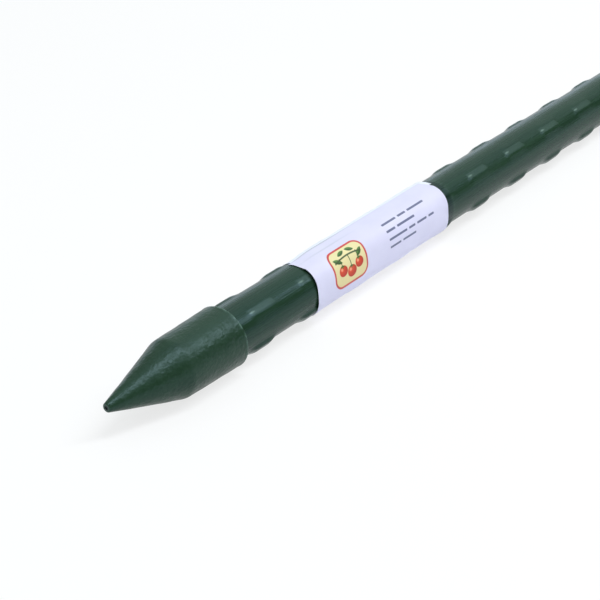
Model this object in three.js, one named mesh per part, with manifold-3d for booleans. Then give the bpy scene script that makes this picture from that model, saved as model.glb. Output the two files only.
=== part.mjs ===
// Plant stake lying on a flat surface: a steel tube in a studded plastic coat, with a pointed foot cap,
// a flat top cap and a paper label wrapped over the studs.
// Units are millimetres. X runs along the stake from the point to the top, and the surface is z = 0.
// Angles round the stake are in radians from straight up (+Z) towards -Y.
import * as THREE from 'three';
import { mergeGeometries, mergeVertices } from 'three/addons/utils/BufferGeometryUtils.js';
import Module from 'manifold-3d';

const wasm = await Module();
wasm.setup();

// Whole stake
const overallLength = 900;
const sides = 32; // facets round each turned piece, one of them flat on the surface
const edgeSteps = 2; // facets in a small rounded edge
const shoulderSteps = 4; // facets in a large rounded corner

// Tube and coat
const shaftDiameter = 16; // over the coat, between the studs
const coatWall = 0.5;
const tubeWall = 0.5;
const bondGap = 0.05; // between the coat and the tube

// Studs
const studRows = [
  { start: 5.2, pitch: 22.9 },
  { start: 3.1, pitch: 23.3 },
  { start: 1.7, pitch: 22.9 },
  { start: 1.3, pitch: 22.75 },
]; // each rolled by its own wheel: from the point cap's rim to the first whole stud, and from stud to stud
const studRowAngle = THREE.MathUtils.degToRad(39.4); // first row
const studLength = 14.4;
const studWidth = 6.4;
const studHeight = 0.95;
const studTopWidth = 1.7;
const studEndRamp = 4; // slope at each end of a stud
const studRoot = 0.15; // depth of a stud's foot in the coat
const studPressedHeight = 0.1; // what is left of a stud that a cap is pushed over
const studEndSteps = 3;

// Both caps
const capClearance = 0.3; // bore to coat
const capRimWall = 1.5;
const capRimRound = 0.4;
const seatGap = 0.3; // tube end to its seat, and rim to the first stud left standing

// Point cap
const pointConeLength = 25.2;
const pointSleeveLength = 23.3;
const pointShoulderWall = 1.05;
const pointShoulderRound = 13;
const pointTipRadius = 1.28;
const pointTipRound = 0.5;
const pointSeat = 1.3; // from the shoulder to the ledge that the tube stands on
const pointCoreStart = 9; // from the tip to the hollow inside the cone
const pointCoreTipRadius = 1.2;

// Top cap
const topSocketDepth = 22;
const topPlate = 2.2;
const topEdgeWall = 1;
const topEdgeRound = 1.6;

// Label
const labelLength = 70;
const labelStart = 34.6; // from the point cap's rim
const labelThickness = 0.15;
const labelClearance = 0.15; // over the studs, and between its two layers
const labelSag = 0.5; // how far it sinks between two rows of studs
const labelEdgeAngle = THREE.MathUtils.degToRad(-13.5); // outer free edge
const labelOverlap = THREE.MathUtils.degToRad(14.5);
const labelSteps = 66;

// Finishes
const bareSteel = { color: 0xb4b8bc, roughness: 0.35, metalness: 1 };
const coatPlastic = { color: 0x243f2f, roughness: 0.32, metalness: 0 };
const capPlastic = { color: 0x254030, roughness: 0.42, metalness: 0 };
const labelPaper = { color: 0xe5e7fa, roughness: 0.5, metalness: 0 };

// Worked out from the sizes above
const shaftRadius = shaftDiameter / 2;
const coatInnerRadius = shaftRadius - coatWall;
const tubeOuterRadius = coatInnerRadius - bondGap;
const tubeInnerRadius = tubeOuterRadius - tubeWall;
const studTopRadius = shaftRadius + studHeight;
const boreRadius = shaftRadius + capClearance;
const rimRadius = boreRadius + capRimWall;
const pointRim = pointConeLength + pointSleeveLength;
const pointLedge = pointConeLength + pointSeat;
const topRim = overallLength - topPlate - topSocketDepth;
const tubeStart = pointLedge + seatGap;
const tubeEnd = overallLength - topPlate - seatGap;

// Rounds the corner between two straight runs of a profile with an arc.
function rounded(before, corner, after, radius, steps) {
  const tip = new THREE.Vector2(...corner);
  const back = new THREE.Vector2(...before).sub(tip).normalize();
  const ahead = new THREE.Vector2(...after).sub(tip).normalize();
  const halfAngle = back.angleTo(ahead) / 2;
  const middle = back.clone().add(ahead).normalize();
  const centre = middle.multiplyScalar(radius / Math.sin(halfAngle)).add(tip);
  const first = back.clone().multiplyScalar(radius / Math.tan(halfAngle)).add(tip);
  const turn = (Math.PI - 2 * halfAngle) * Math.sign(back.cross(ahead));
  const points = [];
  for (let step = 0; step <= steps; step += 1) {
    points.push(first.clone().rotateAround(centre, (-turn * step) / steps).toArray());
  }
  return points;
}

// Turns a profile of [x, radius] points about the stake's axis.
function turned(profile) {
  const points = profile.map(([x, radius]) => new THREE.Vector2(radius, x));
  return new THREE.LatheGeometry(points, sides, Math.PI / sides).rotateZ(-Math.PI / 2);
}

// A plain rod.
function rod(from, to, radius) {
  return turned([
    [from, 0],
    [from, radius],
    [to, radius],
    [to, 0],
  ]);
}

// A plain ring between two radii.
function ring(from, to, innerRadius, outerRadius) {
  return turned([
    [from, innerRadius],
    [from, outerRadius],
    [to, outerRadius],
    [to, innerRadius],
    [from, innerRadius],
  ]);
}

function toSolid(geometry) {
  const bare = geometry.clone();
  bare.deleteAttribute('normal');
  bare.deleteAttribute('uv');
  const merged = mergeVertices(bare);
  return new wasm.Manifold(
    new wasm.Mesh({
      numProp: 3,
      vertProperties: Float32Array.from(merged.attributes.position.array),
      triVerts: Uint32Array.from(merged.index.array),
    }),
  );
}

function toGeometry(solid) {
  const mesh = solid.getMesh();
  const geometry = new THREE.BufferGeometry();
  geometry.setAttribute('position', new THREE.BufferAttribute(mesh.vertProperties, mesh.numProp));
  geometry.setIndex(new THREE.BufferAttribute(mesh.triVerts, 1));
  geometry.computeVertexNormals();
  return geometry;
}

// A point on the shaft's surface, raised by a height, at an arc length from an angle.
function onShaft(x, angle, arc, height) {
  const turn = angle + arc / shaftRadius;
  const radius = shaftRadius + height;
  return [x, -radius * Math.sin(turn), radius * Math.cos(turn)];
}

// Outline of a slot with round ends, as [along, across] points.
function slotOutline(length, width) {
  const points = [];
  for (const end of [1, -1]) {
    for (let step = 0; step <= studEndSteps; step += 1) {
      const angle = Math.PI * (step / studEndSteps - 0.5);
      const along = end * ((length - width) / 2 + (width / 2) * Math.cos(angle));
      points.push([along, (end * width * Math.sin(angle)) / 2]);
    }
  }
  return points;
}

// One stud: a slot-shaped foot in the coat that slopes up to a smaller flat top.
function stud(centre, angle) {
  const flank = (studWidth - studTopWidth) / 2;
  const footGrowth = 1 + studRoot / studHeight;
  const topLength = studLength - 2 * studEndRamp;
  const foot = slotOutline(topLength + 2 * studEndRamp * footGrowth, studTopWidth + 2 * flank * footGrowth);
  const top = slotOutline(topLength, studTopWidth);
  const count = foot.length;
  const positions = [
    ...foot.flatMap(([along, across]) => onShaft(centre + along, angle, across, -studRoot)),
    ...top.flatMap(([along, across]) => onShaft(centre + along, angle, across, studHeight)),
  ];
  const index = [];
  for (let i = 0; i < count; i += 1) {
    const next = (i + 1) % count;
    index.push(i, count + next, next, i, count + i, count + next);
  }
  for (let i = 1; i < count - 1; i += 1) {
    index.push(0, i, i + 1);
    index.push(count, count + i + 1, count + i);
  }
  const geometry = new THREE.BufferGeometry();
  geometry.setAttribute('position', new THREE.Float32BufferAttribute(positions, 3));
  geometry.setIndex(index);
  return geometry;
}

// Every stud that fits whole on the tube.
function allStuds() {
  const studs = [];
  const lowest = tubeStart + (studLength + studEndRamp) / 2;
  const highest = tubeEnd - (studLength + studEndRamp) / 2;
  studRows.forEach(({ start, pitch }, row) => {
    const angle = studRowAngle + (row * 2 * Math.PI) / studRows.length;
    const firstCentre = pointRim + start + studLength / 2;
    const skipped = Math.floor((firstCentre - lowest) / pitch);
    for (let centre = firstCentre - skipped * pitch; centre < highest; centre += pitch) {
      studs.push(stud(centre, angle));
    }
  });
  return mergeGeometries(studs);
}

function steelTube() {
  return ring(tubeStart, tubeEnd, tubeInnerRadius, tubeOuterRadius);
}

// The coat carries the studs, which are pressed flat where the caps are pushed over them.
function plasticCoat() {
  const studded = toSolid(rod(tubeStart, tubeEnd, shaftRadius)).add(toSolid(allStuds()));
  const bore = toSolid(rod(tubeStart - seatGap, tubeEnd + seatGap, coatInnerRadius));
  const pressedRadius = shaftRadius + studPressedHeight;
  const clearRadius = studTopRadius + capClearance;
  const underPoint = toSolid(ring(tubeStart - seatGap, pointRim + seatGap, pressedRadius, clearRadius));
  const underTop = toSolid(ring(topRim - seatGap, tubeEnd + seatGap, pressedRadius, clearRadius));
  return toGeometry(studded.subtract(bore).subtract(underPoint).subtract(underTop));
}

// Blunt cone, soft shoulder and tapered sleeve outside; socket, ledge and hollow cone inside.
function pointCap() {
  const tipEdge = [0, pointTipRadius];
  const shoulder = [pointConeLength, boreRadius + pointShoulderWall];
  const rimOuter = [pointRim, rimRadius];
  const rimInner = [pointRim, boreRadius];
  return turned([
    [0, 0],
    ...rounded([0, 0], tipEdge, shoulder, pointTipRound, edgeSteps),
    ...rounded(tipEdge, shoulder, rimOuter, pointShoulderRound, shoulderSteps),
    ...rounded(shoulder, rimOuter, rimInner, capRimRound, edgeSteps),
    rimInner,
    [pointLedge, boreRadius],
    [pointLedge, tubeInnerRadius],
    [pointCoreStart, pointCoreTipRadius],
    [pointCoreStart, 0],
  ]);
}

// Plain socket with a flat closed end and a rounded edge.
function topCap() {
  const rimInner = [topRim, boreRadius];
  const rimOuter = [topRim, rimRadius];
  const topEdge = [overallLength, boreRadius + topEdgeWall];
  const topCentre = [overallLength, 0];
  const socketEnd = topRim + topSocketDepth;
  return turned([
    [socketEnd, 0],
    [socketEnd, boreRadius],
    rimInner,
    ...rounded(rimInner, rimOuter, topEdge, capRimRound, edgeSteps),
    ...rounded(rimOuter, topEdge, topCentre, topEdgeRound, shoulderSteps),
    topCentre,
  ]);
}

// A paper band wound a little more than once round the studs, its outer end lapped over its inner end.
function label() {
  const wound = 2 * Math.PI + labelOverlap;
  const lapRise = labelThickness + labelClearance;
  const rowRadius = studTopRadius + labelClearance;
  const side = (extra) => {
    const points = [];
    for (let step = 0; step <= labelSteps; step += 1) {
      const run = (wound * step) / labelSteps;
      const angle = labelEdgeAngle + wound - run;
      const sag = (labelSag * (1 - Math.cos(studRows.length * (angle - studRowAngle)))) / 2;
      const rise = lapRise * THREE.MathUtils.smoothstep(run, Math.PI, 2 * Math.PI);
      const radius = rowRadius - sag + rise + extra;
      points.push(new THREE.Vector2(-radius * Math.sin(angle), radius * Math.cos(angle)));
    }
    return points;
  };
  const outline = new THREE.Shape([...side(labelThickness), ...side(0).reverse()]);
  const band = new THREE.ExtrudeGeometry(outline, { depth: labelLength, bevelEnabled: false });
  const alongX = new THREE.Matrix4().makeBasis(
    new THREE.Vector3(0, 1, 0),
    new THREE.Vector3(0, 0, 1),
    new THREE.Vector3(1, 0, 0),
  );
  return band.applyMatrix4(alongX).translate(pointRim + labelStart, 0, 0);
}

function piece(name, geometry, finish) {
  const mesh = new THREE.Mesh(geometry, new THREE.MeshStandardMaterial(finish));
  mesh.name = name;
  return mesh;
}

const plantStake = new THREE.Group();
plantStake.add(
  piece('steel_tube', steelTube(), bareSteel),
  piece('plastic_coat', plasticCoat(), coatPlastic),
  piece('point_cap', pointCap(), capPlastic),
  piece('top_cap', topCap(), capPlastic),
  piece('label', label(), labelPaper),
);
plantStake.position.set(-overallLength / 2, 0, rimRadius * Math.cos(Math.PI / sides));

export default plantStake;
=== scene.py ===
import math

import bmesh
import bpy
import numpy as np
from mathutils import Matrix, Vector


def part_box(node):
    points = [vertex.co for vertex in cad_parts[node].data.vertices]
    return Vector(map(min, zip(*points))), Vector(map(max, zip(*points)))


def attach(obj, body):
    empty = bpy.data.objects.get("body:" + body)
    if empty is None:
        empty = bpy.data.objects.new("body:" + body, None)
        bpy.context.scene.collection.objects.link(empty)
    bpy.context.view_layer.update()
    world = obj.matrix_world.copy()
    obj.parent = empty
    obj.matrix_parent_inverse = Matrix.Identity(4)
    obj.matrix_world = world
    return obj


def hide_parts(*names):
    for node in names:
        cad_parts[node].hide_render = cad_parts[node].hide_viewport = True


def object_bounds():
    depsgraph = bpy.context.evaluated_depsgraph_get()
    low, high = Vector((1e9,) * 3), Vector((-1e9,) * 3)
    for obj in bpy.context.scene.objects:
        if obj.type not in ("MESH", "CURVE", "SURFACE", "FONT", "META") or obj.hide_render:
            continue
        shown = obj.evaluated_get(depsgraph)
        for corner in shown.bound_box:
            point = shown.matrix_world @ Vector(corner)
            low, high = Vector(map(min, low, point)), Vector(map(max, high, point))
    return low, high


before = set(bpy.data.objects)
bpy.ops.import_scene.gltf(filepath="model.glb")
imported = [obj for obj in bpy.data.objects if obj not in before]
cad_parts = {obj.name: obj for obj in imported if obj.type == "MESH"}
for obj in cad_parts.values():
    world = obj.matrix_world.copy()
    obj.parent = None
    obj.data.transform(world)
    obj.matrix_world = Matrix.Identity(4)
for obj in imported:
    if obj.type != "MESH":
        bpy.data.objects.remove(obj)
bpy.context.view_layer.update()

# Where the stake lies, from the frame: places along it are millimetres from the tip,
# angles round it are from straight up towards -Y.
mm = 0.001
fullTurn = 2 * math.pi
boxes = {node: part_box(node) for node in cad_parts}
tipX = boxes["point_cap"][0].x
axisZ = (boxes["steel_tube"][0].z + boxes["steel_tube"][1].z) / 2
starts = {node: (low.x - tipX) / mm for node, (low, high) in boxes.items()}
ends = {node: (high.x - tipX) / mm for node, (low, high) in boxes.items()}
print("frame loaded, stake of", round(ends["top_cap"], 1), "mm")


# Mesh helpers

def easedStep(value, low, high):  # 0 below low, 1 above high, 3t^2 - 2t^3 between
    share = np.clip((value - low) / (high - low), 0, 1)
    return share * share * (3 - 2 * share)


def easedFall(value, low, high):  # the same from 1 down to 0
    return 1 - easedStep(value, low, high)


def onStake(x, radius, angle):  # place along, radius and angle to a point in the frame, in metres
    x, radius, angle = np.broadcast_arrays(x, radius, angle)
    y = -mm * radius * np.sin(angle)
    z = axisZ + mm * radius * np.cos(angle)
    return np.stack([tipX + mm * x, y, z], axis=-1)


def gridFaces(rows, columns, closeRows=False):  # quads on a grid whose columns go all round
    index = np.arange(rows * columns).reshape(rows, columns)
    index = np.hstack([index, index[:, :1]])
    if closeRows:
        index = np.vstack([index, index[:1]])
    corners = [index[:-1, :-1], index[:-1, 1:], index[1:, 1:], index[1:, :-1]]
    return np.stack(corners, axis=-1).reshape(-1, 4)


def roundedCorner(before, corner, after, radius, steps):  # arc that touches both runs of a profile
    before, corner, after = (np.array(p, float) for p in (before, corner, after))
    back = (before - corner) / np.linalg.norm(before - corner)
    ahead = (after - corner) / np.linalg.norm(after - corner)
    half = math.acos(np.clip(back @ ahead, -1, 1)) / 2
    middle = (back + ahead) / np.linalg.norm(back + ahead)
    centre = corner + middle * radius / math.sin(half)
    first = corner + back * radius / math.tan(half) - centre
    turn = np.linspace(0, math.pi - 2 * half, steps + 1)
    turn = -turn * np.sign(back[0] * ahead[1] - back[1] * ahead[0])
    x = first[0] * np.cos(turn) - first[1] * np.sin(turn)
    y = first[0] * np.sin(turn) + first[1] * np.cos(turn)
    return centre + np.stack([x, y], axis=-1)


def splitRuns(profile, longest):  # same profile, with no run longer than that
    profile = np.vstack(profile)
    runs = []
    for here, there in zip(profile[:-1], profile[1:]):
        count = max(1, math.ceil(np.linalg.norm(there - here) / longest))
        runs.append(here + (there - here) * np.arange(count)[:, None] / count)
    return np.vstack(runs + [profile[-1:]])


def addObject(name, data):
    made = bpy.data.objects.new(name, data)
    bpy.context.scene.collection.objects.link(made)
    return made


# A mesh that takes a node's place on its body. Edges are sharp from an angle in degrees,
# and points nearer than samePoint, in metres, are joined.
def makePiece(name, points, faces, material, body, node, values=None, sharpFrom=38, samePoint=1e-7):
    mesh = bpy.data.meshes.new(name)
    mesh.from_pydata(points.reshape(-1, 3).tolist(), [], faces.tolist())
    for key, numbers in (values or {}).items():  # the surface's own attributes, one per point
        kind, field = ("FLOAT_VECTOR", "vector") if numbers.ndim > 1 else ("FLOAT", "value")
        attribute = mesh.attributes.new(key, kind, "POINT")
        attribute.data.foreach_set(field, numbers.astype(np.float32).ravel())
    edit = bmesh.new()
    edit.from_mesh(mesh)
    bmesh.ops.remove_doubles(edit, verts=edit.verts, dist=samePoint)  # closes the poles
    edit.to_mesh(mesh)
    edit.free()
    mesh.shade_smooth()
    mesh.set_sharp_from_angle(angle=math.radians(sharpFrom))
    mesh.materials.append(material)
    piece = addObject(name, mesh)
    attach(piece, body)
    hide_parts(node)
    print("made", name, len(mesh.polygons), "faces")


# Shader helpers
noiseSpan = (0.3, 0.7)  # most values of a noise lie between these


def startMaterial(name):
    material = bpy.data.materials.new(name)
    material.use_nodes = True
    return material, material.node_tree, material.node_tree.nodes["Principled BSDF"]


def feed(tree, socket, value):  # a link from a socket, or a fixed value
    if isinstance(value, bpy.types.NodeSocket):
        tree.links.new(value, socket)
    else:
        socket.default_value = value


def worked(tree, kind, operation, values):  # outputs of one step of arithmetic
    node = tree.nodes.new(kind)
    node.operation = operation
    for socket, value in zip(node.inputs, values):
        feed(tree, socket, value)
    return node.outputs


def calc(tree, operation, *values):  # on numbers
    return worked(tree, "ShaderNodeMath", operation, values)[0]


def vectorCalc(tree, operation, *values):  # on vectors, to a vector or a length
    outputs = worked(tree, "ShaderNodeVectorMath", operation, values)
    return outputs["Value" if operation in ("DISTANCE", "LENGTH") else "Vector"]


def partsOf(tree, vector):  # its X, Y and Z
    node = tree.nodes.new("ShaderNodeSeparateXYZ")
    tree.links.new(vector, node.inputs[0])
    return node.outputs


# A value carried from one range to another and held at its ends, straight or eased.
def ranged(tree, value, fromLow, fromHigh, toLow=0.0, toHigh=1.0, smooth=False):
    node = tree.nodes.new("ShaderNodeMapRange")
    node.interpolation_type = "SMOOTHSTEP" if smooth else "LINEAR"
    for key, number in zip(("Value", "From Min", "From Max", "To Min", "To Max"),
                           (value, fromLow, fromHigh, toLow, toHigh)):
        feed(tree, node.inputs[key], number)
    return node.outputs["Result"]


def mixed(tree, share, first, second):  # the first colour at a share of 0, the second at 1
    node = tree.nodes.new("ShaderNodeMix")
    node.data_type = "RGBA"
    feed(tree, node.inputs["Factor"], share)
    for socket, colour in zip(node.inputs[6:8], (first, second)):  # its two colour inputs
        feed(tree, socket, colour if isinstance(colour, bpy.types.NodeSocket) else (*colour, 1))
    return node.outputs[2]  # its colour output


def moved(tree, place, centre=(0, 0, 0), turn=0.0, stretch=(1, 1, 1)):  # place in a pattern's own frame
    node = tree.nodes.new("ShaderNodeMapping")
    node.vector_type = "TEXTURE"
    feed(tree, node.inputs["Vector"], place)
    node.inputs["Location"].default_value = centre
    node.inputs["Rotation"].default_value = (0, 0, turn)
    node.inputs["Scale"].default_value = stretch
    return node.outputs["Vector"]


def noise(tree, place, size, detail=2.0, roughness=0.5):  # size of a patch in mm, or x, y, z
    sizes = np.broadcast_to(np.array(size, float), 3) * mm
    node = tree.nodes.new("ShaderNodeTexNoise")
    feed(tree, node.inputs["Vector"], moved(tree, place, stretch=tuple(sizes)))
    node.inputs["Scale"].default_value = 1.0
    node.inputs["Detail"].default_value = detail
    node.inputs["Roughness"].default_value = roughness
    return node.outputs["Fac"]


def objectPlace(tree):
    return tree.nodes.new("ShaderNodeTexCoord").outputs["Object"]


def ownValue(tree, key, field="Fac"):  # one of the surface's own attributes
    node = tree.nodes.new("ShaderNodeAttribute")
    node.attribute_name = key
    return node.outputs[field]


def bumped(tree, shader, height, depth):  # depth of the relief in mm
    node = tree.nodes.new("ShaderNodeBump")
    node.inputs["Distance"].default_value = depth * mm
    feed(tree, node.inputs["Height"], height)
    tree.links.new(node.outputs["Normal"], shader.inputs["Normal"])


# Camera, from the photograph's viewing angle
camera = {
    "lens": 108.5,
    "azimuth": -51.9,  # degrees
    "elevation": 30.0,
    "distance": 549.4,  # mm
    "looksAt": (82.6, -2.1, -2.3),  # mm from the tip
    "nearest": 10.0,  # mm, where its view begins
}


def makeCamera():
    azimuth, elevation = math.radians(camera["azimuth"]), math.radians(camera["elevation"])
    level = math.cos(elevation)
    back = Vector((math.sin(azimuth) * level, -math.cos(azimuth) * level, math.sin(elevation)))
    target = Vector((tipX, 0, axisZ)) + Vector(camera["looksAt"]) * mm
    data = bpy.data.cameras.new("camera")
    data.lens = camera["lens"]
    data.clip_start = camera["nearest"] * mm
    viewer = addObject("camera", data)
    viewer.location = target + back * camera["distance"] * mm
    viewer.rotation_euler = (-back).to_track_quat("-Z", "Y").to_euler()
    bpy.context.scene.camera = viewer


makeCamera()
print("camera set")


# Green plastic
plastic = {
    "fleckSpan": (0.56, 0.78),  # noise at which a fleck begins and is full
    "markNoiseSpan": (0.35, 0.6),  # the same for the patchiness of pale marks and painted highlights
    "padLeast": 0.7,  # least painted light on a stud's top, a share
    "padSoft": (0.4, 0.25),  # how far that top fades at its rim, along and across
    "glintSpan": (1.3, 0.3),  # where a painted glint begins and is full, in its half widths
    "smoothest": 0.16,  # least roughness
}


def studMasks(tree):  # 1 on the flat tops of the studs, where light is painted, and 1 on their painted glints
    along, across = plastic["padSoft"]
    past = partsOf(tree, ownValue(tree, "pad", "Vector"))
    inLength = ranged(tree, past["X"], along, -along, smooth=True)
    inWidth = ranged(tree, past["Y"], across, -across, smooth=True)
    fromGlint = vectorCalc(tree, "LENGTH", ownValue(tree, "glint", "Vector"))
    glint = ranged(tree, fromGlint, *plastic["glintSpan"], smooth=True)
    return calc(tree, "MULTIPLY", inLength, inWidth), glint


def greenPlastic(name, finish):  # patches and flecks, pale marks, painted glints and light, and painted shade
    material, tree, shader = startMaterial(name)
    place = objectPlace(tree)
    patches = noise(tree, place, finish["patchSize"], detail=3.0)
    flecks = noise(tree, place, finish["fleckSize"])
    flecks = ranged(tree, flecks, *plastic["fleckSpan"], 0.0, finish["fleckShare"])
    colour = mixed(tree, ranged(tree, patches, *noiseSpan), finish["dark"], finish["light"])
    colour = mixed(tree, flecks, colour, finish["fleck"])
    bare = ownValue(tree, "paleMarksAndHighlights")  # 1 on pale marks and on the rim's painted highlight
    markNoise = noise(tree, place, finish["markNoiseSize"], detail=3.0)
    paleMarksAndHighlights = calc(tree, "MULTIPLY", bare, ranged(tree, markNoise, *plastic["markNoiseSpan"]))
    if "padPaintedLight" in finish:  # studs: painted light on their tops and a painted glint at one end
        pad, glint = studMasks(tree)
        most = finish["padPaintedLight"]
        # stud tops painted paler, as if lit
        pale = ranged(tree, markNoise, *noiseSpan, plastic["padLeast"] * most, most)
        pale = calc(tree, "MULTIPLY", pad, pale)
        paleMarksAndHighlights = calc(tree, "MAXIMUM", calc(tree, "MAXIMUM", paleMarksAndHighlights, glint), pale)
        bare = calc(tree, "MULTIPLY_ADD", pad, finish["padPolish"], glint)
    paleMarksAndHighlights = calc(tree, "MULTIPLY", paleMarksAndHighlights, finish["paleAndHighlightShare"])
    # pale marks, painted glints and stud tops painted as lit
    colour = mixed(tree, paleMarksAndHighlights, colour, finish["paleAndHighlightColour"])
    colour = mixed(tree, ownValue(tree, "shade"), colour, finish["shadeAndGrimeColour"])  # painted shade in hollows, the bore and under the label; shade and dirt in the gate mark
    feed(tree, shader.inputs["Base Color"], colour)
    sheen = noise(tree, place, finish["sheenSize"], detail=3.0, roughness=0.6)
    rough = ranged(tree, sheen, *noiseSpan, *finish["roughness"])
    dull = calc(tree, "MULTIPLY_ADD", bare, -finish["polish"], 1.0)  # pale marks and glints shine more, stud tops less
    rough = calc(tree, "MULTIPLY", rough, dull)
    feed(tree, shader.inputs["Roughness"], calc(tree, "MAXIMUM", rough, plastic["smoothest"]))
    grain = noise(tree, place, finish["grainSize"])
    swell = noise(tree, place, finish["swellSize"])
    relief = calc(tree, "MULTIPLY_ADD", grain, finish["grainShare"], swell)
    bumped(tree, shader, relief, finish["relief"])
    shader.inputs["IOR"].default_value = finish["ior"]
    shader.inputs["Specular Tint"].default_value = (*finish["gloss"], 1)
    return material


# Coat of the tube, with four rows of studs
coat = {
    "radius": 8.0,
    "wall": 0.5,
    "rowAngle": math.radians(39.4),
    # For each row, first: from the cap's rim; aside: shift round the coat; foot: half width;
    # corner: how far the wall itself stands out; ramp: length of the slope at the end by the
    # point; skew: how oblique that end is.
    "rows": [
        {"first": 6.0, "pitch": 22.9, "length": 13.8, "height": 0.13, "aside": -0.38,
         "foot": 3.3, "corner": 0.05, "ramp": 1.8, "skew": 0.3},
        {"first": 3.2, "pitch": 23.3, "length": 14.0, "height": 0.76, "aside": 0,
         "foot": 2.5, "corner": 0.3, "ramp": 5.0, "skew": 0},
        {"first": 2.0, "pitch": 22.9, "length": 13.8, "height": 0.60, "aside": 0,
         "foot": 2.5, "corner": 0.3, "ramp": 3.0, "skew": 0},
        {"first": 1.6, "pitch": 22.75, "length": 12.9, "height": 0.50, "aside": 0,
         "foot": 2.5, "corner": 0.3, "ramp": 3.0, "skew": 0},
    ],
    "studTop": 1.2,  # half the width of a stud's top
    "studFlat": 0.6,  # how far that top is flattened, a share
    "studLean": 0.02,  # slope of that top, up towards greater angles
    "farRamp": 4.4,  # length of the slope at a stud's end away from the point
    "padHalf": 1.0,  # half the width of the top painted as lit
    "padSkew": 0.5,  # how oblique its ends are
    "glint": (2.0, 0.1),  # painted glint on a stud, from its near end and across
    "glintHalf": (1.4, 0.38),
    "noMark": 9.0,  # stands for no stud nearby
    "ridge": (0.06, 0.5),  # faint ridge along a row between its studs, height and half width
    "pressed": 0.1,  # what is left of a stud under a cap, a share
    "capEdge": (-0.2, 0.6),  # where a stud rises out of a cap, from its rim
    "wave": 0.02,  # unevenness of the wall
    "waveLengths": (43, 29),
    "waveFade": 10,  # length of its fading out at both ends
    "step": 0.85,  # grid along the stake
    "topLines": (0, 0.2, 0.4, 0.7),  # grid across half a stud's top
    "flankLines": 5,
    "gapLines": 5,  # grid between two rows
    "paleRing": 4.9,  # pale ring past the label, from its end
    "paleRingHalf": 0.35,
    "paleRingShare": 0.28,
    "shade": 0.7,  # how dark the painted shadow under the label's end is
    "shadeStart": 3,  # length of its setting in
    "shadeEnd": 0.6,  # where that painted shadow begins to fade, a share of the way to the pale ring
}
rowCount = len(coat["rows"])
coatFinish = {
    "dark": (0.0112, 0.0325, 0.0152),
    "light": (0.0178, 0.0450, 0.0218),
    "fleck": (0.034, 0.066, 0.046),
    # colour of pale marks and of painted highlights and light
    "paleAndHighlightColour": (0.150, 0.220, 0.185),
    # painted shade, and in the gate mark also dirt
    "shadeAndGrimeColour": (0.006, 0.016, 0.012),
    "ior": 1.36,
    "gloss": (0.46, 0.74, 1.0),
    "patchSize": (60, 1.6, 1.6),  # lengthways streaks
    "fleckSize": (9, 0.5, 0.5),
    "fleckShare": 0.30,
    "markNoiseSize": (2.5, 0.5, 0.5),
    "paleAndHighlightShare": 0.95,
    "sheenSize": (18, 1.2, 1.2),
    "roughness": (0.21, 0.33),
    "polish": 0.8,
    "padPaintedLight": 0.17,  # painted light on a stud's top
    "padPolish": -0.3,  # and how much less it shines
    "grainSize": (30, 0.35, 0.35),
    "grainShare": 0.9,
    "swellSize": (25, 2.2, 2.2),
    "relief": 0.06,
}


def fromRow(row, angle):  # angle from a row's line, from minus half a turn to half a turn
    rowAngle = coat["rowAngle"] + row * fullTurn / rowCount
    aside = coat["rows"][row]["aside"] / coat["radius"]
    return (angle - rowAngle - aside + math.pi) % fullTurn - math.pi


# Length from the nearest stud's middle, or from a place that far past it.
def fromStud(row, x, place=0.0):
    studs = coat["rows"][row]
    first = ends["point_cap"] + studs["first"] + studs["length"] / 2 + place
    return (x - first + studs["pitch"] / 2) % studs["pitch"] - studs["pitch"] / 2


# What stands out of the round wall: for each row a broad corner, a faint ridge and the studs,
# whose ends and flanks are eased, and all of it pressed flat under the caps.
def coatRelief(x, angle):
    studTop = coat["studTop"]
    ridgeHeight, ridgeHalf = coat["ridge"]
    relief = 0 * (x + angle)
    for row, studs in enumerate(coat["rows"]):
        turned, along = fromRow(row, angle), fromStud(row, x)
        across = coat["radius"] * turned
        half = studs["length"] / 2
        onTop = np.clip(across, -studTop, studTop)
        level = coat["studFlat"] * onTop ** 2 / (2 * coat["radius"]) + coat["studLean"] * onTop
        fromStart = along + half - studs["skew"] * (studTop - onTop)
        mound = easedStep(fromStart, 0, studs["ramp"])
        mound = mound * easedFall(along, half - coat["farRamp"], half)
        mound = mound * easedFall(np.abs(across), studTop, studs["foot"])
        corner = studs["corner"] * np.cos(np.clip(2 * turned, -math.pi / 2, math.pi / 2)) ** 2
        ridge = ridgeHeight * np.exp(-((across / ridgeHalf) ** 2)) * (1 - mound)
        relief = relief + corner + ridge + (studs["height"] + level) * mound
    near, far = coat["capEdge"]
    standing = easedStep(x, ends["point_cap"] + near, ends["point_cap"] + far)
    standing = standing * easedFall(x, starts["top_cap"] - far, starts["top_cap"] - near)
    return relief * (coat["pressed"] + (1 - coat["pressed"]) * standing)


def studMarks(x, angle):  # how far past the nearest stud's flat top, and the painted glint's half widths away
    flat = 0 * (x + angle)
    pad, glint = np.full((2, *flat.shape, 3), coat["noMark"])
    for row, studs in enumerate(coat["rows"]):
        turned = fromRow(row, angle) + flat
        across = coat["radius"] * turned
        near, far = studs["ramp"] / 2, coat["farRamp"] / 2
        oblique = x - coat["padSkew"] * np.clip(across, -coat["studTop"], coat["studTop"])
        past = np.abs(fromStud(row, oblique, (near - far) / 2)) - (studs["length"] - near - far) / 2
        spot = np.abs(fromStud(row, x, coat["glint"][0] - studs["length"] / 2)) / coat["glintHalf"][0]
        side = np.abs(across - coat["glint"][1]) / coat["glintHalf"][1]
        nearest = (np.abs(turned) < math.pi / rowCount)[..., None]
        pad = np.where(nearest, np.stack([past, np.abs(across) - coat["padHalf"], flat], axis=-1), pad)
        glint = np.where(nearest, np.stack([spot + flat, side, flat], axis=-1), glint)
    return pad, glint


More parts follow.
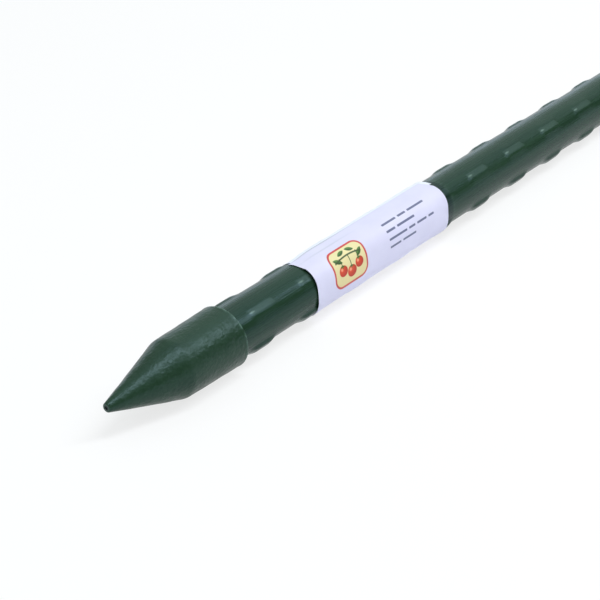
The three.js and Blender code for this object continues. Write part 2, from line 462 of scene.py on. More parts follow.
def coatAngles():  # close together on the flanks of each row of studs
    foot = min(studs["foot"] for studs in coat["rows"])
    flank = np.linspace(coat["studTop"], foot, coat["flankLines"])
    flank = np.concatenate([coat["topLines"], flank])
    quarter = fullTurn * coat["radius"] / rowCount
    between = np.linspace(flank[-1], quarter - flank[-1], coat["gapLines"] + 2)[1:-1]
    arcs = np.concatenate([-flank[:0:-1], flank, between])
    rows = np.arange(rowCount)[:, None] * fullTurn / rowCount
    aside = np.array([[studs["aside"]] for studs in coat["rows"]])
    return (coat["rowAngle"] + rows + (arcs + aside) / coat["radius"]).ravel()


# Radius over place and angle, closed by the bore: the wall, its studs and a slow wave, which is
# two sines along the stake, one bent and one wound round it.
def makeCoat():
    start, end = starts["plastic_coat"], ends["plastic_coat"]
    angles = coatAngles()[None, :]
    x = np.linspace(start, end, round((end - start) / coat["step"]) + 1)[:, None]
    fade = coat["waveFade"]
    free = easedStep(x, start, start + fade) * easedFall(x, end - fade, end)
    bent, wound = (fullTurn * x / length for length in coat["waveLengths"])
    wave = np.sin(bent + 2 * np.sin(angles)) + np.sin(wound - 3 * angles)
    outer = coat["radius"] + coatRelief(x, angles) + coat["wave"] * wave * free
    inner = np.full((2, angles.size), coat["radius"] - coat["wall"])
    points = onStake(np.vstack([x, [[end], [start]]]), np.vstack([outer, inner]), angles)
    faces = gridFaces(*points.shape[:2], closeRows=True)
    fromLabel, paleRingAt = x - ends["label"], coat["paleRing"]
    paleRing = np.exp(-(((fromLabel - paleRingAt) / coat["paleRingHalf"]) ** 2))
    # painted shadow of the label's end on the coat; the bore below is painted in full shade
    under = easedFall(fromLabel, coat["shadeEnd"] * paleRingAt, paleRingAt)
    under = under * easedStep(x - starts["label"], 0, coat["shadeStart"])
    spread = np.ones_like(angles)
    values = {
        "paleMarksAndHighlights": np.vstack([coat["paleRingShare"] * paleRing * spread, 0 * inner]).ravel(),
        "shade": np.vstack([coat["shade"] * under * spread, 1 + 0 * inner]).ravel(),
    }
    noMarks = np.full((*inner.shape, 3), coat["noMark"])
    for key, marks in zip(("pad", "glint"), studMarks(x, angles)):
        values[key] = np.concatenate([marks, noMarks]).reshape(-1, 3)
    material = greenPlastic("coatGreen", coatFinish)
    makePiece("coat", points, faces, material, "shaft", "plastic_coat", values)


makeCoat()


# Caps, both moulded in the same green
capFinish = {
    "dark": (0.0125, 0.0355, 0.0155),
    "light": (0.0170, 0.0440, 0.0205),
    "fleck": (0.034, 0.064, 0.042),
    # colour of the pale tip ring and of the rim's painted highlight
    "paleAndHighlightColour": (0.110, 0.190, 0.150),
    # painted shade, and in the gate mark also dirt
    "shadeAndGrimeColour": (0.005, 0.009, 0.007),
    "ior": 1.40,
    "gloss": (0.60, 0.86, 1.0),
    "patchSize": (7, 3.5, 3.5),
    "fleckSize": (0.9, 0.7, 0.7),
    "fleckShare": 0.40,
    "markNoiseSize": (0.8, 1.6, 1.6),
    "paleAndHighlightShare": 0.85,
    "sheenSize": (4, 2, 2),
    "roughness": (0.30, 0.43),
    "polish": 0.2,
    "grainSize": (1.2, 1.0, 1.0),
    "grainShare": 2.0,
    "swellSize": (3.0, 2.0, 2.0),
    "relief": 0.085,
}
caps = {
    "rimRadius": 9.8,
    "boreRadius": 8.3,
    "rimRound": 0.25,
    "roundSteps": 5,  # in a small rounding
    "lip": 0.08,  # moulding lip that stands out at the rim
    "lipWidth": 0.55,
    "lipEase": (0.1, 0.15),  # its slope before and past that width
    "lipHighlight": (0.2, 0.45),  # where its painted highlight fades, from the rim
    "slantLength": 8,  # how far from the rim a slanted rim is felt
    "wave": 0.025,  # sink marks in the sleeve
    "ripples": (10.5, 6.3),  # lengths of the bent ripple and of the wound one
    "bend": (1.6, 0.6),  # how far the first is bent, and from which angle
    "beat": (1.5, 7),  # its rise and fall, round and along
    "woundShare": 0.6,  # strength of the second
    "rippleStart": (1, 6),  # where they fade in and out, from both ends
    "rippleEnd": (5, 1),
    "tipRing": (0.35, 0.25, 0.3),  # pale ring round a gate: from its edge, half width, depth
    "gateEase": 0.12,  # soft edge of the gate mark
    "hollowShade": 0.6,  # painted shade inside the socket
    "around": 144,
    "longestRun": 0.6,
}
pointCap = {
    "coneLength": 26.0,
    "tipRadius": 1.36,
    "tipRound": 0.45,
    "shoulderRadius": 9.35,
    "shoulderRound": 7.0,
    "shoulderSteps": 12,
    "ledge": 26.5,  # where the tube stands
    "ledgeRadius": 6.95,
    "coreStart": 9.0,
    "coreTipRadius": 1.2,
    "gateRadius": 0.5,  # broken-off gate in the tip
    "gateDepth": 0.3,
    "gateTaper": 0.7,
    "gateRingShare": 1.0,  # how pale the ring round the tip's gate is
    "rimSlant": 0.35,  # how much further the rim reaches at the lower front
    "rimAngle": math.radians(130),
    "lean": 0.4,  # how far the tip has warped off the axis
    "leanAngle": math.radians(-43),
}
topCap = {
    "plate": 2.2,
    "edgeRadius": 9.3,
    "edgeRound": 1.6,
    "edgeSteps": 8,
    "gateRadius": 0.9,
    "gateDepth": 0.25,
    "gateTaper": 0.8,
    "gateRingShare": 0.0,
    "rimSlant": 0.0,
    "rimAngle": 0.0,
}
capGreen = greenPlastic("capGreen", capFinish)


def sinkMarks(x, angle, low, high):  # a bent ripple and a wound one, faded out at both ends
    bentLength, woundLength = caps["ripples"]
    bend, bendAngle = caps["bend"]
    beatRound, beatLength = caps["beat"]
    bent = np.sin(fullTurn * x / bentLength + bend * np.sin(angle + bendAngle))
    bent = bent * np.cos(beatRound * np.sin(angle) + x / beatLength)
    wound = caps["woundShare"] * np.sin(fullTurn * x / woundLength - 2 * angle)
    fadeIn = easedStep(x, *(low + length for length in caps["rippleStart"]))
    fadeOut = easedFall(x, *(high - length for length in caps["rippleEnd"]))
    return caps["wave"] * (bent + wound) * fadeIn * fadeOut


# A profile turned about the axis, with a lip and sink marks where outside is 1, a slanted rim
# and a tip that leans by the square of the way from the shoulder.
def turnCap(name, body, cap, profile, outside, rim, inward):
    angles = np.linspace(0, fullTurn, caps["around"], endpoint=False)[None, :]
    x, plainRadius = profile[:, :1], profile[:, 1:]
    toRim = (rim - x) * inward  # distance from the rim into the cap
    before, past = caps["lipEase"]
    lip = caps["lip"] * easedFall(toRim, caps["lipWidth"] - before, caps["lipWidth"] + past)
    low, high = sorted([rim, rim - inward * cap["length"]])
    radius = plainRadius + outside * (lip + sinkMarks(x, angles, low, high))
    slant = cap["rimSlant"] * (1 + np.cos(angles - cap["rimAngle"])) / 2
    slant = slant * easedStep(-toRim, -caps["slantLength"], 0)
    points = onStake(x + inward * slant, radius, angles)
    if "lean" in cap:
        lean = cap["lean"] * np.clip(1 - x / cap["coneLength"], 0, 1) ** 2
        points = points + onStake(0, lean, cap["leanAngle"]) - onStake(0, 0, 0)
    gateRadius, fromGate = cap["gateRadius"], np.abs(x - cap["gateAt"])
    ringAt, ringHalf, ringDepth = caps["tipRing"]
    # the rim lip's pale edge, partly a painted highlight
    onLip = outside * easedFall(toRim, *caps["lipHighlight"])
    onTip = np.exp(-(((radius - gateRadius - ringAt) / ringHalf) ** 2)) * (fromGate < ringDepth)
    # the gate hole darkened: painted shade and dirt
    inGate = easedFall(plainRadius, gateRadius, gateRadius + caps["gateEase"])
    inGate = inGate * (fromGate < 2 * cap["gateDepth"])
    # painted shade inside the socket
    hollow = caps["hollowShade"] * (1.0 - outside)
    spread = np.ones_like(angles)
    values = {
        "paleMarksAndHighlights": (np.maximum(onLip, cap["gateRingShare"] * onTip) * spread).ravel(),
        "shade": (np.maximum(hollow, inGate) * spread).ravel(),
    }
    makePiece(name, points, gridFaces(*points.shape[:2]), capGreen, body, body, values)


def makePointCap():  # gate, tip, cone, shoulder and sleeve to the rim, then back along the socket
    rim, steps = ends["point_cap"], caps["roundSteps"]
    tipEdge = (0, pointCap["tipRadius"])
    shoulder = (pointCap["coneLength"], pointCap["shoulderRadius"])
    rimOuter, rimInner = (rim, caps["rimRadius"]), (rim, caps["boreRadius"])
    gateRadius, gateDepth = pointCap["gateRadius"], pointCap["gateDepth"]
    outer = splitRuns([
        [(gateDepth, 0), (gateDepth, pointCap["gateTaper"] * gateRadius), (0, gateRadius)],
        roundedCorner((0, 0), tipEdge, shoulder, pointCap["tipRound"], steps),
        roundedCorner(tipEdge, shoulder, rimOuter, pointCap["shoulderRound"], pointCap["shoulderSteps"]),
        roundedCorner(shoulder, rimOuter, rimInner, caps["rimRound"], steps),
    ], caps["longestRun"])
    inner = np.array([
        rimInner,
        (pointCap["ledge"], caps["boreRadius"]),
        (pointCap["ledge"], pointCap["ledgeRadius"]),
        (pointCap["coreStart"], pointCap["coreTipRadius"]),
        (pointCap["coreStart"], 0),
    ])
    outside = np.concatenate([np.ones(len(outer)), np.zeros(len(inner))])[:, None]
    cap = {**pointCap, "gateAt": 0, "length": rim}
    turnCap("pointCap", "point_cap", cap, np.vstack([outer, inner]), outside, rim, inward=1)


def makeTopCap():  # socket, rim, sleeve, edge and flat end to the gate
    rim, end, steps = starts["top_cap"], ends["top_cap"], caps["roundSteps"]
    socket = end - topCap["plate"]
    rimOuter, rimInner = (rim, caps["rimRadius"]), (rim, caps["boreRadius"])
    topEdge, topCentre = (end, topCap["edgeRadius"]), (end, 0)
    gateRadius, gateEnd = topCap["gateRadius"], end - topCap["gateDepth"]
    inner = np.array([(socket, 0), (socket, caps["boreRadius"]), rimInner])
    outer = splitRuns([
        roundedCorner(rimInner, rimOuter, topEdge, caps["rimRound"], steps),
        roundedCorner(rimOuter, topEdge, topCentre, topCap["edgeRound"], topCap["edgeSteps"]),
        [(end, gateRadius), (gateEnd, topCap["gateTaper"] * gateRadius), (gateEnd, 0)],
    ], caps["longestRun"])
    outside = np.concatenate([np.zeros(len(inner)), np.ones(len(outer))])[:, None]
    cap = {**topCap, "gateAt": end, "length": end - rim}
    turnCap("topCap", "top_cap", cap, np.vstack([inner, outer]), outside, rim, inward=-1)


makePointCap()
makeTopCap()


# Steel tube inside the coat
tube = {
    "outerRadius": 7.45,
    "innerRadius": 6.95,
    "bead": 0.25,  # weld bead along the bore
    "beadWidth": 0.9,
    "beadAngle": math.radians(205),
    "edge": 0.08,  # broken edge at both ends
    "around": 128,
    "dark": (0.36, 0.37, 0.39),
    "light": (0.56, 0.57, 0.59),
    "drawnSize": (40, 0.4, 0.4),  # lengthways drawing marks
    "cloudSize": (8, 1, 1),
    "roughness": (0.3, 0.5),
    "relief": 0.02,
}


def bareSteel():
    material, tree, shader = startMaterial("bareSteel")
    place = objectPlace(tree)
    drawn = noise(tree, place, tube["drawnSize"], detail=3.0)
    cloud = noise(tree, place, tube["cloudSize"], detail=3.0)
    feed(tree, shader.inputs["Base Color"], mixed(tree, drawn, tube["dark"], tube["light"]))
    feed(tree, shader.inputs["Roughness"], ranged(tree, cloud, *noiseSpan, *tube["roughness"]))
    bumped(tree, shader, drawn, tube["relief"])
    shader.inputs["Metallic"].default_value = 1.0
    return material


def makeTube():  # a ring carried along the axis, with a bell-shaped bead in its bore
    angles = np.linspace(0, fullTurn, tube["around"], endpoint=False)[None, :]
    start, end, edge = starts["steel_tube"], ends["steel_tube"], tube["edge"]
    arc = tube["innerRadius"] * ((angles - tube["beadAngle"] + math.pi) % fullTurn - math.pi)
    bore = tube["innerRadius"] - tube["bead"] * np.exp(-((arc / tube["beadWidth"]) ** 2))
    skin = np.full_like(angles, tube["outerRadius"])
    x = np.array([start, start + edge, end - edge, end, end, start])[:, None]
    radius = np.vstack([skin - edge, skin, skin, skin - edge, bore, bore])
    points = onStake(x, radius, angles)
    faces = gridFaces(*points.shape[:2], closeRows=True)
    makePiece("tube", points, faces, bareSteel(), "shaft", "steel_tube")


makeTube()


# Paper label wrapped over the studs
label = {
    "thickness": 0.12,
    "rowRadius": 9.0,  # inner face over the rows of studs
    "sags": (0.85, 0.75, 0.70, 0.78),  # halfway between two rows, side by side
    "studSag": 0.12,  # between two studs of a row
    "propSpan": (0.5, 0.1),  # how far below it a stud begins to prop it, and props it fully
    "hang": 0.1,  # looser below
    "tuck": 0.33,  # drawn in over the upper row, at the end by the point
    "tuckLength": 12.0,
    "tuckSpan": (0.7, 0.95),  # cosines of the angle from that row, where it fades and is full
    "clearance": 0.05,  # least room to the coat
    "flare": 0.13,  # its front stands off at the other end
    "flareLength": 6.0,
    "frontSpan": (0.75, 0.97),  # cosines, the same for its front and for its top
    "shift": 0.7,  # along the stake
    "skew": 1.5,  # more of that at its inner edge, wound askew
    "skewSpan": (0.6, 0.9),  # turns from the free edge
    "edgeAngle": math.radians(-24),  # outer free edge
    "overlap": math.radians(25),
    "hug": 0.8,  # how far its end by the point lies down on the coat at the top, a share
    "hugLength": 9,
    "hugAngle": -0.25,  # the middle of that, in radians
    "shorter": 0.4,  # how far its end away from the point draws in
    "slant": 0.6,  # and more by the free edge
    "slantSpan": (0.1, 0.7),  # radians from that edge
    "lapRise": 0.18,
    "edgeLift": 0.10,  # how far the free edge curls up near the point
    "edgeCurl": math.radians(16),
    "liftAway": 0.25,  # share of that away from the point
    "liftAt": 14,  # middle and half length of the curled stretch, from the end by the point
    "liftHalf": 14,
    "ridge": 0.05,  # the inner edge showing through
    "ridgeHalf": 0.04,  # radians
    "ridgeAway": 0.3,
    "crinkle": 0.025,
    "crinkleLengths": (23, 57),
    "crinkleTurns": (4, 1.3),
    "crinkleLift": 0.5,  # how far it stands outwards, a share
    "along": 81,
    "around": 261,
}
printed = {
    "paper": (0.745, 0.715, 0.905),
    "paperShade": (0.715, 0.685, 0.875),
    "cloudSize": 9,
    "cloudSpan": (0.35, 0.65),
    "cloudRelief": 2.0,  # against that of the fibres
    "fibreSize": (0.5, 0.25, 0.25),
    "relief": 0.02,
    "roughness": (0.42, 0.56),
    "ior": 1.45,
    "flapPaintedLight": (0.84, 0.85, 0.95),  # strip past the free edge, painted paler as if brightly lit
    "flapSpan": (math.radians(40), math.radians(25)),  # begins and is full, short of a turn
    # painted shadow along the free edge, and on the ridge
    "edgeShade": (0.42, 0.43, 0.52),
    "edgeHalf": 0.06,  # radians
    "edgeAway": 0.1,  # share of that shade away from the point
    "ridgeShade": 0.4,  # the same shade on the ridge, a share
    "nowhere": -100.0,  # place of the back, where nothing is printed
    "soft": 0.14,  # width of a printed edge, mm
    "badge": (17.0, 3.4),  # centre: mm from the label's end, mm round from the first row
    "badgeHalf": (8.4, 6.6),
    "badgeRound": 3.6,
    "outline": 0.7,
    "outlineColour": (0.60, 0.065, 0.060),
    "field": (0.83, 0.74, 0.40),
    "fieldShade": (0.80, 0.66, 0.33),
    "vine": (0.045, 0.085, 0.022),
    "leaf": (0.085, 0.215, 0.035),
    "leafDark": (0.035, 0.095, 0.020),
    "leafVein": 0.15,  # half the width of the change between its halves
    "fruit": (0.72, 0.060, 0.016),
    "fruitDark": (0.46, 0.024, 0.010),
    "fruitShine": (0.90, 0.36, 0.20),
    "ink": (0.15, 0.16, 0.28),
    "fruits": [(-3.9, 0.9, 1.9), (0.2, 2.3, 2.1), (4.2, 0.8, 1.85)],  # from the badge's centre, radius
    "fruitStretch": (1.06, 0.96, 1),
    "shineAt": (-0.32, -0.36),  # from a fruit's centre, in its radii
    "shineSpan": (0.38, 0.12),  # where the shine begins and is full, in radii
    "darkSpan": (0.35, 1.45),  # the same for its dark side
    "stemTop": -3.1,
    "stemHalf": 0.17,
    "stemRound": 0.1,
    "sepals": (90, 32, 148),  # turns in degrees
    "sepalReach": (0.45, 0.35),  # middle of a sepal, across and down
    "sepalDrop": 0.2,
    "sepalHalf": (0.62, 0.22),
    "vineRadius": 26.0,
    "vineHalf": 6.2,
    "vineWidth": 0.5,
    "leaves": [  # place, turn, half length, half width
        (-5.0, -2.6, 28, 2.0, 0.75),
        (-1.9, -4.5, -14, 1.8, 0.65),
        (2.3, -4.4, 20, 1.8, 0.65),
        (5.3, -2.2, -35, 1.9, 0.75),
    ],
    "barsFrom": 37.5,
    "barTop": -1.6,
    "barPitch": 2.65,
    "barHeight": 0.75,
    "barRound": 0.3,
    "barGap": 1.1,
    "bars": [(7.5, 4.2, 8.8), (4.6, 9.4), (9.6, 3.4, 5.2, 3.0), (5.8, 7.2)],
}


def insideEdge(tree, gap, edge):  # 1 inside the printed edge, 0 outside, softened
    soft = printed["soft"] / 2
    return ranged(tree, gap, edge + soft, edge - soft)


def boxGap(tree, place, centre, half, corner):  # distance to a box with round corners
    fromCentre = vectorCalc(tree, "ABSOLUTE", vectorCalc(tree, "SUBTRACT", place, (*centre, 0)))
    past = vectorCalc(tree, "SUBTRACT", fromCentre, (half[0] - corner, half[1] - corner, 0))
    return vectorCalc(tree, "LENGTH", vectorCalc(tree, "MAXIMUM", past, (0, 0, 0)))


# A leaf is the overlap of two circles, darker on one half.
def printLeaf(tree, colour, place, at, turn, halfLength, halfWidth):
    own = moved(tree, place, (*at, 0), math.radians(turn))
    radius = (halfLength ** 2 + halfWidth ** 2) / (2 * halfWidth)
    offset = radius - halfWidth
    upper = vectorCalc(tree, "DISTANCE", own, (0, offset, 0))
    lower = vectorCalc(tree, "DISTANCE", own, (0, -offset, 0))
    gap = calc(tree, "MAXIMUM", upper, lower)
    side = ranged(tree, partsOf(tree, own)["Y"], -printed["leafVein"], printed["leafVein"])
    green = mixed(tree, side, printed["leaf"], printed["leafDark"])
    return mixed(tree, insideEdge(tree, gap, radius), colour, green)


def printFruit(tree, colour, place, at, radius):  # a stem, a shaded ball with a shine, and its sepals
    top, corner = at[1] - radius, printed["stemRound"]
    stemHalf = (top - printed["badge"][1] - printed["stemTop"]) / 2
    stemSize = (printed["stemHalf"], stemHalf + corner)
    stem = boxGap(tree, place, (at[0], top - stemHalf), stemSize, corner)
    colour = mixed(tree, insideEdge(tree, stem, corner), colour, printed["vine"])
    own = moved(tree, place, (*at, 0), stretch=printed["fruitStretch"])
    gap = vectorCalc(tree, "LENGTH", own)
    shineX, shineY = (share * radius for share in printed["shineAt"])
    fromShine = vectorCalc(tree, "DISTANCE", own, (shineX, shineY, 0))
    dark = ranged(tree, fromShine, *(share * radius for share in printed["darkSpan"]))
    shine = ranged(tree, fromShine, *(share * radius for share in printed["shineSpan"]))
    skin = mixed(tree, dark, printed["fruit"], printed["fruitDark"])
    skin = mixed(tree, shine, skin, printed["fruitShine"])
    colour = mixed(tree, insideEdge(tree, gap, radius), colour, skin)
    reachX, reachY = printed["sepalReach"]
    for turn in printed["sepals"]:
        lean = math.radians(turn)
        sepal = (at[0] + reachX * math.cos(lean), top + printed["sepalDrop"] + reachY * math.sin(lean))
        colour = printLeaf(tree, colour, place, sepal, turn, *printed["sepalHalf"])
    return colour


def printBadge(tree, colour, place):  # a rounded field with an outline, a vine, its leaves and fruits
    centre = np.array(printed["badge"])
    corner = printed["badgeRound"]
    gap = boxGap(tree, place, centre, printed["badgeHalf"], corner)
    colour = mixed(tree, insideEdge(tree, gap, corner), colour, printed["outlineColour"])
    parts = partsOf(tree, place)
    low, high = centre[1] - printed["badgeHalf"][1], centre[1] + printed["badgeHalf"][1]
    down = ranged(tree, parts["Y"], low, high)
    field = mixed(tree, down, printed["field"], printed["fieldShade"])
    colour = mixed(tree, insideEdge(tree, gap, corner - printed["outline"]), colour, field)
    # The vine is a flat arc, cut to its length
    arcRadius = printed["vineRadius"]
    arcCentre = (centre[0], centre[1] + printed["stemTop"] + arcRadius, 0)
    off = calc(tree, "SUBTRACT", vectorCalc(tree, "DISTANCE", place, arcCentre), arcRadius)
    fromMiddle = calc(tree, "ABSOLUTE", calc(tree, "SUBTRACT", parts["X"], float(centre[0])))
    past = calc(tree, "SUBTRACT", fromMiddle, printed["vineHalf"])
    vine = calc(tree, "MAXIMUM", calc(tree, "ABSOLUTE", off), past)
    for x, y, turn, halfLength, halfWidth in printed["leaves"]:
        colour = printLeaf(tree, colour, place, centre + (x, y), turn, halfLength, halfWidth)
    colour = mixed(tree, insideEdge(tree, vine, printed["vineWidth"] / 2), colour, printed["vine"])
    for x, y, radius in printed["fruits"]:
        colour = printFruit(tree, colour, place, centre + (x, y), radius)
    return colour


def printBars(tree, colour, place):  # plain word-length bars in four lines
    half, corner = printed["barHeight"] / 2, printed["barRound"]
    gaps = []
    for line, lengths in enumerate(printed["bars"]):
        y = printed["barTop"] + line * printed["barPitch"]
        x = printed["barsFrom"]
        for length in lengths:
            gaps.append(boxGap(tree, place, (x + length / 2, y), (length / 2, half), corner))
            x += length + printed["barGap"]
    nearest = gaps[0]
    for gap in gaps[1:]:
        nearest = calc(tree, "MINIMUM", gap, nearest)
    return mixed(tree, insideEdge(tree, nearest, corner), colour, printed["ink"])


def labelPaper():
    material, tree, shader = startMaterial("labelPaper")
    place = ownValue(tree, "printPlace", "Vector")
    own = objectPlace(tree)
    cloud = noise(tree, own, printed["cloudSize"], detail=3.0)
    cloudy = ranged(tree, cloud, *printed["cloudSpan"])
    colour = mixed(tree, cloudy, printed["paper"], printed["paperShade"])
    # the strip past the free edge painted paler, as if lit
    colour = mixed(tree, ownValue(tree, "flapPaintedLight"), colour, printed["flapPaintedLight"])
    # painted shadow lines along the free edge and the ridge
    colour = mixed(tree, ownValue(tree, "paintedEdgeShadow"), colour, printed["edgeShade"])
    colour = printBars(tree, printBadge(tree, colour, place), place)
    feed(tree, shader.inputs["Base Color"], colour)
    fibre = noise(tree, own, printed["fibreSize"], detail=3.0, roughness=0.6)
    feed(tree, shader.inputs["Roughness"], ranged(tree, fibre, *noiseSpan, *printed["roughness"]))
    relief = calc(tree, "MULTIPLY_ADD", cloud, printed["cloudRelief"], fibre)
    bumped(tree, shader, relief, printed["relief"])
    shader.inputs["IOR"].default_value = printed["ior"]
    return material


# Grid over the winding angle, from the outer free edge inwards, and the place along the stake,
# which is shifted, wound askew and drawn in at the end away from the point.
def labelPlaces():
    wound = np.linspace(0, fullTurn + label["overlap"], label["around"])[None, :]
    straight = np.linspace(starts["label"], ends["label"], label["along"])[:, None]
    fromEnd = straight - starts["label"]
    askew = label["skew"] * easedStep(wound, *(share * fullTurn for share in label["skewSpan"]))
    drawnIn = label["shorter"] + label["slant"] * easedFall(wound, *label["slantSpan"])
    farShare = fromEnd / (ends["label"] - starts["label"])
    return wound, fromEnd, straight + label["shift"] + askew - farShare * drawnIn


def labelEdges(wound, fromEnd):  # bell curves over the stretch that curls, and over the inner edge
    nearPoint = np.exp(-(((fromEnd - label["liftAt"]) / label["liftHalf"]) ** 2))
    innerEdge = np.exp(-(((wound - label["overlap"]) / label["ridgeHalf"]) ** 2))
    return nearPoint, innerEdge


def weaker(nearPoint, away):  # whole near the point, a share of it away from there
    return away + (1 - away) * nearPoint


# Inner radius over place and winding angle: round on the rows of studs and sagging between them,
# tucked in, hanging, flaring and lapping by eased steps, and never inside the coat.
def labelRadius(wound, fromEnd, x):
    angle = label["edgeAngle"] + wound
    quarter = fullTurn / rowCount
    fromFirst = angle - coat["rowAngle"]
    dip = (1 - np.cos(fromFirst * fullTurn / quarter)) / 2  # 0 on a row, 1 halfway to the next
    side = np.floor(fromFirst / quarter).astype(int) % rowCount
    radius = label["rowRadius"] - np.array(label["sags"])[side] * dip
    surface = coat["radius"] + coatRelief(x, angle)
    propped = easedStep(surface, *(label["rowRadius"] - below for below in label["propSpan"]))
    radius = radius - label["studSag"] * (1 - dip) ** 3 * (1 - propped)
    onUpperRow = easedStep(np.cos(fromFirst + quarter), *label["tuckSpan"])
    radius = radius - label["tuck"] * easedFall(fromEnd, 0, label["tuckLength"]) * onUpperRow
    radius = radius + label["hang"] * (1 - np.cos(angle)) / 2
    inFront = easedStep(np.cos(fromFirst), *label["frontSpan"])
    fromFarEnd = ends["label"] - starts["label"] - fromEnd
    radius = radius + label["flare"] * easedFall(fromFarEnd, 0, label["flareLength"]) * inFront
    lapEnd = label["overlap"] + math.pi
    radius = radius + label["lapRise"] * easedFall(wound, label["overlap"], lapEnd)
    nearPoint, innerEdge = labelEdges(wound, fromEnd)
    lift = label["edgeLift"] * easedFall(wound, 0, label["edgeCurl"])
    radius = radius + lift * weaker(nearPoint, label["liftAway"])
    radius = radius + label["ridge"] * innerEdge * weaker(nearPoint, label["ridgeAway"])
    nearSkin = surface + label["clearance"]
    atTop = easedStep(np.cos(angle - label["hugAngle"]), *label["frontSpan"])
    hug = label["hug"] * atTop * easedFall(fromEnd, 0, label["hugLength"])
    radius = radius + hug * (nearSkin - radius)
    crinkle = 1
    for length, turns in zip(label["crinkleLengths"], label["crinkleTurns"]):
        crinkle = crinkle * np.sin(fullTurn * x / length + turns * angle)
    return np.maximum(radius + label["crinkle"] * (crinkle + label["crinkleLift"]), nearSkin)


# The print's own places on the front, the flap painted paler as if lit, and painted shadow lines along
# the free edge and the ridge.
def labelMarks(wound, fromEnd):
    face = np.ones((label["along"], label["around"]))
    arc = (label["edgeAngle"] + wound - coat["rowAngle"]) * label["rowRadius"]
    front = np.stack([fromEnd * face, arc * face, 0 * face], axis=-1)
    back = np.full_like(front, printed["nowhere"])
    flapPaintedLight = easedStep(wound, *(fullTurn - before for before in printed["flapSpan"])) * face
    nearPoint, innerEdge = labelEdges(wound, fromEnd)
    # painted shadow under the free edge and along the inner edge's ridge
    paintedEdgeShadow = np.exp(-((wound / printed["edgeHalf"]) ** 2)) * weaker(nearPoint, printed["edgeAway"])
    paintedEdgeShadow = paintedEdgeShadow + printed["ridgeShade"] * innerEdge * nearPoint ** 2
    return {
        "printPlace": np.concatenate([front, back], axis=1).reshape(-1, 3),
        "flapPaintedLight": np.concatenate([flapPaintedLight, face], axis=1).ravel(),
        "paintedEdgeShadow": np.concatenate([paintedEdgeShadow, 0 * face], axis=1).ravel(),
    }


def makeLabel():  # a spiral band: its inner face, the outer one a thickness above it, and the two ends
    wound, fromEnd, x = labelPlaces()
    angle = label["edgeAngle"] + wound
    radius = labelRadius(wound, fromEnd, x)
    outer = onStake(x, radius + label["thickness"], angle)
    inner = onStake(x, radius, angle)[:, ::-1]
    points = np.concatenate([outer, inner], axis=1)
    rows, columns = points.shape[:2]
    column = np.arange(label["around"] - 1)
    facing = columns - 1 - column
    firstEdge = np.stack([column, facing, facing - 1, column + 1], axis=-1)
    lastEdge = firstEdge[:, ::-1] + (rows - 1) * columns
    faces = np.vstack([gridFaces(rows, columns), firstEdge, lastEdge])
    values = labelMarks(wound, fromEnd)
    makePiece("paperLabel", points, faces, labelPaper(), "shaft", "label", values)


makeLabel()
print("object made")


# Studio: pale floor, soft world, three lamps
studio = {
    "floorSize": 9.0,  # metres
    "floorColour": (0.93, 0.93, 0.96),
    "floorRough": 0.9,
    "floorWhite": 0.76,  # how far the floor goes to plain white where it is seen
    "lampColour": (0.97, 0.985, 1.0),
    "lampAim": 0.1,  # metres along the stake
    # The world's light. Spans are on the unit ball: X along the stake, Y away, Z up.
    "roomColour": (0.78, 0.90, 0.88),
    "horizonColour": (0.70, 0.84, 1.0),
    "horizon": (1.35, 1.87),  # brightness on the camera's side and beyond the stake
    "horizonSides": (-0.3, 0.3),
    "horizonSpan": (0.16, 0.02),  # heights where it begins and is full
    "horizonRise": 0.07,  # higher beyond the stake
    "ceiling": 0.38,
    "overhead": 0.90,
    "overheadSpan": (0.50, 0.85),
    "farWall": 0.52,  # more light from beyond the stake's top end
    "farWallSpan": (0.3, 0.6),
    "nearWall": 0.4,  # share of the light on the side of the point
    "nearWallSpan": (-0.35, 0.1),
    "frontDark": 0.95,  # how far the camera's side of the room goes dark
    "frontSpan": (0.3, -0.1),
    "frontHeights": (0.57, 0.39),
}
lamps = {  # places from the tip and sizes in metres
    "key": {"at": (-1.5, -0.45, 1.35), "size": (1.0, 1.0), "power": 4.0},
    "strip": {"at": (0.60, -0.485, 1.05), "size": (1.6, 0.20), "power": 11.5, "turn": -31.0},
    "side": {"at": (-1.6, -0.6, 0.55), "size": (0.5, 0.5), "power": 2.0},
}


def makeFloor():
    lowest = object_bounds()[0].z
    half = studio["floorSize"] / 2
    corners = [(x * half, y * half, lowest) for x, y in ((-1, -1), (1, -1), (1, 1), (-1, 1))]
    mesh = bpy.data.meshes.new("floor")
    mesh.from_pydata(corners, [], [(0, 1, 2, 3)])
    material, tree, shader = startMaterial("paleFloor")
    shader.inputs["Base Color"].default_value = (*studio["floorColour"], 1)
    shader.inputs["Roughness"].default_value = studio["floorRough"]
    shader.inputs["Specular IOR Level"].default_value = 0.0
    white = tree.nodes.new("ShaderNodeEmission")
    path = tree.nodes.new("ShaderNodeLightPath").outputs
    seen = calc(tree, "MAXIMUM", path["Is Camera Ray"], path["Is Glossy Ray"])
    seen = calc(tree, "MAXIMUM", seen, path["Is Transmission Ray"])
    blend = tree.nodes.new("ShaderNodeMixShader")
    tree.links.new(calc(tree, "MULTIPLY", seen, studio["floorWhite"]), blend.inputs["Fac"])
    tree.links.new(shader.outputs[0], blend.inputs[1])
    tree.links.new(white.outputs[0], blend.inputs[2])
    tree.links.new(blend.outputs[0], tree.nodes["Material Output"].inputs["Surface"])
    mesh.materials.append(material)
    floor = addObject("floor", mesh)


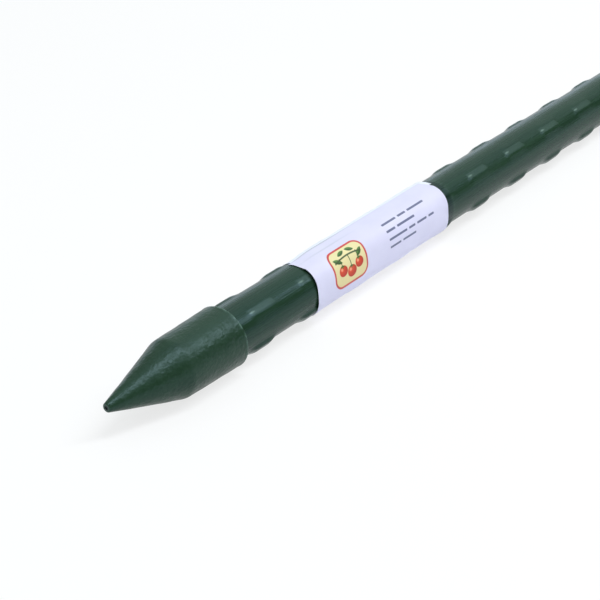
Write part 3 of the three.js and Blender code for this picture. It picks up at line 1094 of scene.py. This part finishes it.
# A bright, bluish horizon under a dimmer room, which is brighter overhead and past the top end,
# dimmer on the side of the point and dark low on the camera's side.
def makeWorld():
    world = bpy.data.worlds.new("studio")
    world.use_nodes = True
    bpy.context.scene.world = world
    tree = world.node_tree
    direction = tree.nodes.new("ShaderNodeTexCoord").outputs["Generated"]
    along, away, up = partsOf(tree, direction)
    upper = ranged(tree, up, *studio["overheadSpan"], studio["ceiling"], studio["overhead"], smooth=True)
    farWall = ranged(tree, along, *studio["farWallSpan"], 0.0, studio["farWall"], smooth=True)
    upper = calc(tree, "ADD", upper, farWall)
    nearWall = ranged(tree, along, *studio["nearWallSpan"], studio["nearWall"], 1.0, smooth=True)
    upper = calc(tree, "MULTIPLY", upper, nearWall)
    front = ranged(tree, away, *studio["frontSpan"], 0.0, studio["frontDark"], smooth=True)
    front = calc(tree, "MULTIPLY", front, ranged(tree, up, *studio["frontHeights"], smooth=True))
    upper = calc(tree, "MULTIPLY", upper, calc(tree, "SUBTRACT", 1.0, front))
    beyond = ranged(tree, away, *studio["horizonSides"], smooth=True)
    height = calc(tree, "MULTIPLY_ADD", beyond, -studio["horizonRise"], up)
    nearFloor = ranged(tree, height, *studio["horizonSpan"], smooth=True)
    horizon = ranged(tree, beyond, 0.0, 1.0, *studio["horizon"])
    lift = calc(tree, "SUBTRACT", horizon, upper)
    level = calc(tree, "MULTIPLY_ADD", lift, nearFloor, upper)
    tint = mixed(tree, nearFloor, studio["roomColour"], studio["horizonColour"])
    background = tree.nodes["Background"]
    tree.links.new(tint, background.inputs["Color"])
    tree.links.new(level, background.inputs["Strength"])


def makeLamp(name):
    data = bpy.data.lights.new(name, "AREA")
    data.shape = "RECTANGLE"
    data.size, data.size_y = lamps[name]["size"]
    data.energy = lamps[name]["power"]
    data.color = studio["lampColour"]
    lamp = addObject(name, data)
    lamp.location = Vector(lamps[name]["at"]) + Vector((tipX, 0, 0))
    if "turn" in lamps[name]:  # faces straight down
        lamp.rotation_euler = (0, 0, math.radians(lamps[name]["turn"]))
    else:
        aim = Vector((tipX + studio["lampAim"], 0, axisZ)) - lamp.location
        lamp.rotation_euler = aim.to_track_quat("-Z", "Y").to_euler()


makeFloor()
makeWorld()
for lampName in lamps:
    makeLamp(lampName)
bpy.context.scene.view_settings.view_transform = "Standard"
print("studio made")
